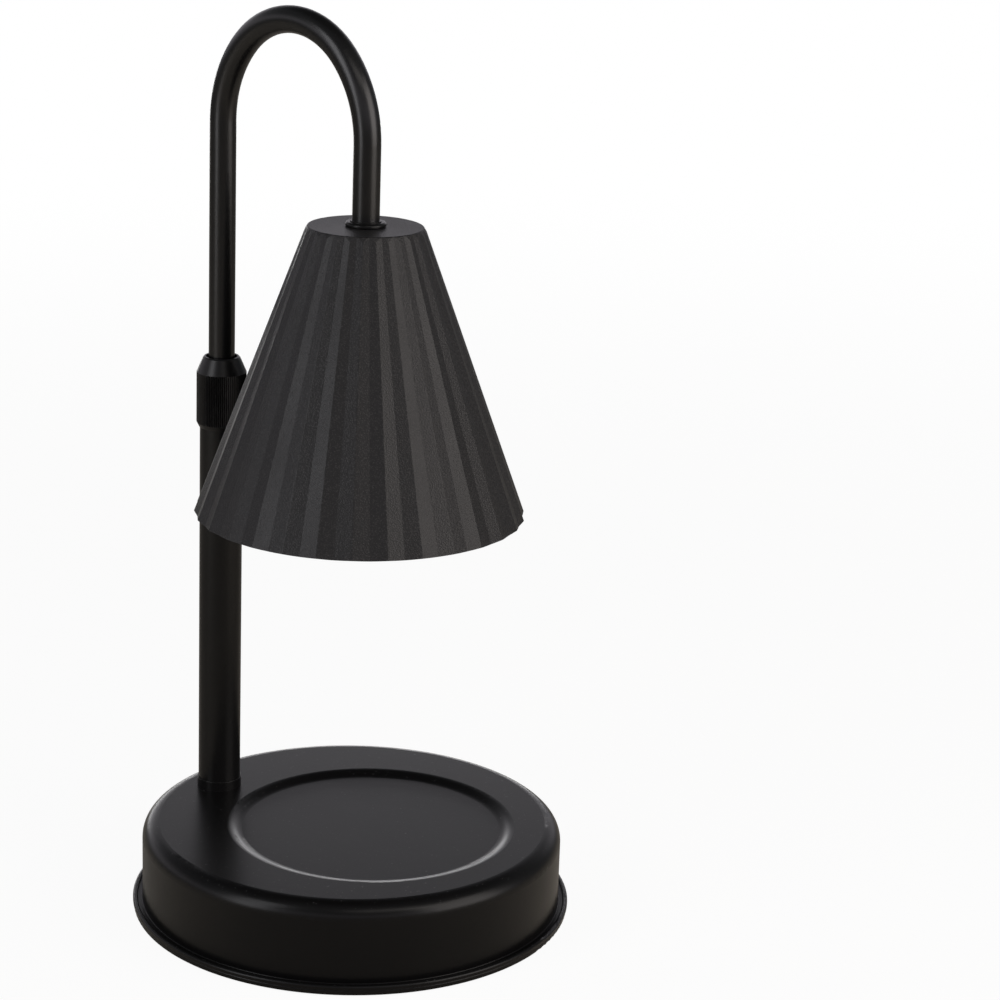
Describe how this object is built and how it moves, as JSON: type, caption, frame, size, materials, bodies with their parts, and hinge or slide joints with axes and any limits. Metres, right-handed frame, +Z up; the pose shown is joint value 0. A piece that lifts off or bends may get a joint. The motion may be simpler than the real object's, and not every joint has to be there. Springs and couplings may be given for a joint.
{
  "type": "candle warmer lamp",
  "caption": "Candle warmer lamp with weighted round base, candle recess, height-adjustable swivelling gooseneck, knurled lock nut and pleated metal shade over a reflector bulb.",
  "frame": {"origin": "on the table, under the centre of the round base", "axes": "+Z up; +Y from the base's centre towards the upright, so the candle side faces -Y; the arm stands swivelled 10.9 degrees clockwise from -Y, seen from above"},
  "size_m": [0.16, 0.16, 0.3265],
  "materials": {
    "black_satin": "satin black powder coat",
    "textured_black": "fine sand-textured charcoal black coat",
    "zinc_steel": "zinc-plated steel",
    "brass": "turned brass",
    "contact_bronze": "spring bronze",
    "cast_iron": "rough casting",
    "black_rubber": "matt black rubber",
    "white_nylon": "natural nylon",
    "lead_jacket": "black PVC jacket",
    "silicone_core": "woven glass sleeve over silicone",
    "white_ceramic": "white steatite ceramic, opaque",
    "bulb_glass": "clear glass",
    "reflector_glass": "glass with a faceted mirror coat inside",
    "nickel": "nickel-plated",
    "tungsten": "drawn tungsten wire"
  },
  "bodies": {
    "base": {"base_shell": "black_satin", "bottom_plate": "black_satin", "feet": "black_rubber", "screw_posts": "zinc_steel", "plate_screws": "zinc_steel", "ballast": "cast_iron", "ballast_screws": "zinc_steel", "cord_gland": "black_rubber", "terminal_block": "white_nylon", "terminal_screws": "brass", "block_screw": "zinc_steel", "foot_ring": "black_satin", "post_tube": "black_satin", "post_plug": "brass", "post_nipple": "zinc_steel", "post_washer": "zinc_steel", "post_lock_washer": "zinc_steel", "post_nut": "zinc_steel", "collet": "brass", "base_lead": "lead_jacket", "post_lead": "lead_jacket"},
    "clamp": {"clamp_ring": "white_nylon"},
    "nut": {"lock_nut": "black_satin"},
    "slider": {"guide_bush": "white_nylon"},
    "arm": {"gooseneck": "black_satin", "neck_clips": "zinc_steel", "shade_collar": "black_satin", "shade": "textured_black", "lamp_bracket": "zinc_steel", "shade_lock_washer": "zinc_steel", "shade_nut": "zinc_steel", "lampholder": "white_ceramic", "contacts": "contact_bronze", "holder_screws": "zinc_steel", "arm_lead": "lead_jacket", "holder_leads": "silicone_core"},
    "bulb": {"bulb_cap": "white_ceramic", "bulb_pins": "nickel", "bulb_reflector": "reflector_glass", "bulb_front_glass": "bulb_glass", "bulb_capsule": "bulb_glass", "bulb_filament": "tungsten", "bulb_wires": "nickel"}
  },
  "joints": [
    {"name": "height_slide", "type": "slide", "parent": "base", "child": "slider", "axis": [0, 0, 1], "range_m": [-0.07, 0.015], "deforming": ["post_lead"]},
    {"name": "arm_swivel", "type": "hinge", "parent": "slider", "child": "arm", "pos_m": [0, 0.0593, 0.2], "axis": [0, 0, 1], "range_deg": [-170, 170]},
    {"name": "clamp_press", "type": "slide", "parent": "base", "child": "clamp", "axis": [0, 0, 1], "range_m": [0, 0.0008]},
    {"name": "lock_nut_turn", "type": "hinge", "parent": "clamp", "child": "nut", "pos_m": [0, 0.0593, 0.185], "axis": [0, 0, 1], "range_deg": [0, 270]},
    {"name": "bulb_turn", "type": "hinge", "parent": "arm", "child": "bulb", "pos_m": [-0.01305, -0.00846, 0.2217], "axis": [0, 0, 1], "range_deg": [-40, 0]}
  ],
  "couplings": [
    {"joint": "clamp_press", "follows": "lock_nut_turn", "m_per_rad": 0.00015915}
  ]
}
